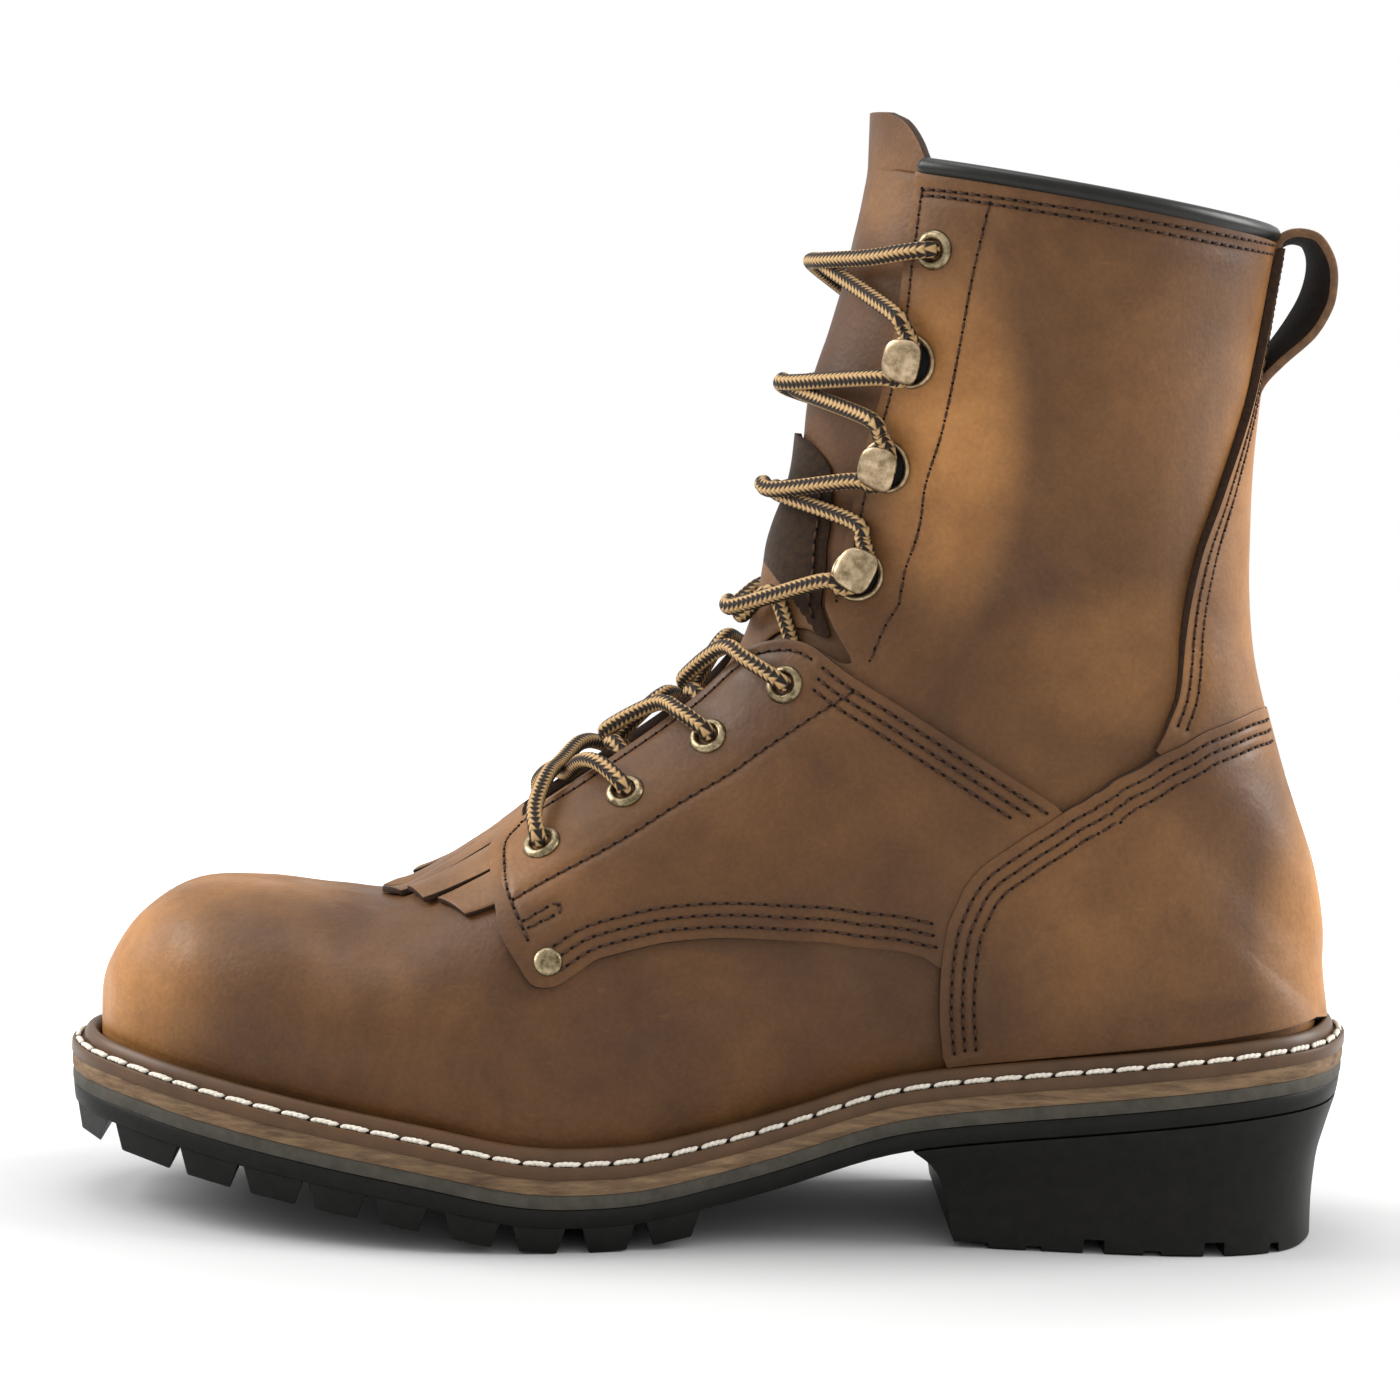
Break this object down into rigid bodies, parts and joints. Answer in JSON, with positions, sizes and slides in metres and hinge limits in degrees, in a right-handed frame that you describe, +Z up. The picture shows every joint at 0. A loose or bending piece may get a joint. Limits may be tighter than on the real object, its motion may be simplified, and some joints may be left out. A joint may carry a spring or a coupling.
{
  "type": "logger boot",
  "caption": "Lace-up leather logger boot, ankle-high shaft over a lugged sole with a tall raised heel, fringed kiltie, speed hooks and a back pull loop.",
  "frame": {"origin": "centre of the boot's bounding box on the floor", "axes": "+X from the toe towards the heel, +Y towards the lateral side, +Z up from the floor"},
  "size_m": [0.311, 0.1139, 0.268],
  "materials": {
    "leather": "oiled, semi-gloss, mottled",
    "suede": "rough flesh side, matte",
    "welt": "smooth, semi-gloss",
    "tan": "raw cut edge, matte",
    "grey": "matte",
    "rubber": "matte, lightly textured",
    "brass": "antique, brushed by wear",
    "lace": "round braid, matte",
    "binding": "rolled edge, semi-matte"
  },
  "bodies": {
    "root": {"outsole": "rubber", "midsole": "grey", "leather_midsole": "tan", "heel": "rubber", "welt": "welt", "insole": "tan", "upper": "leather", "quarter_medial": "leather", "quarter_lateral": "leather", "counter": "leather", "backstay": "leather", "collar_binding": "binding", "tongue": "leather", "kiltie": "suede", "rivet_medial": "brass", "rivet_lateral": "brass", "eyelet_medial_1": "brass", "eyelet_medial_2": "brass", "eyelet_medial_3": "brass", "eyelet_medial_4": "brass", "eyelet_medial_5": "brass", "hook_medial_1": "brass", "hook_medial_2": "brass", "hook_medial_3": "brass", "eyelet_lateral_1": "brass", "eyelet_lateral_2": "brass", "eyelet_lateral_3": "brass", "eyelet_lateral_4": "brass", "eyelet_lateral_5": "brass", "hook_lateral_1": "brass", "hook_lateral_2": "brass", "hook_lateral_3": "brass", "lace_crossing_1": "lace", "lace_crossing_2": "lace", "lace_crossing_3": "lace", "lace_crossing_4": "lace", "lace_crossing_5": "lace", "lace_crossing_6": "lace", "lace_crossing_7": "lace"}
  },
  "joints": []
}
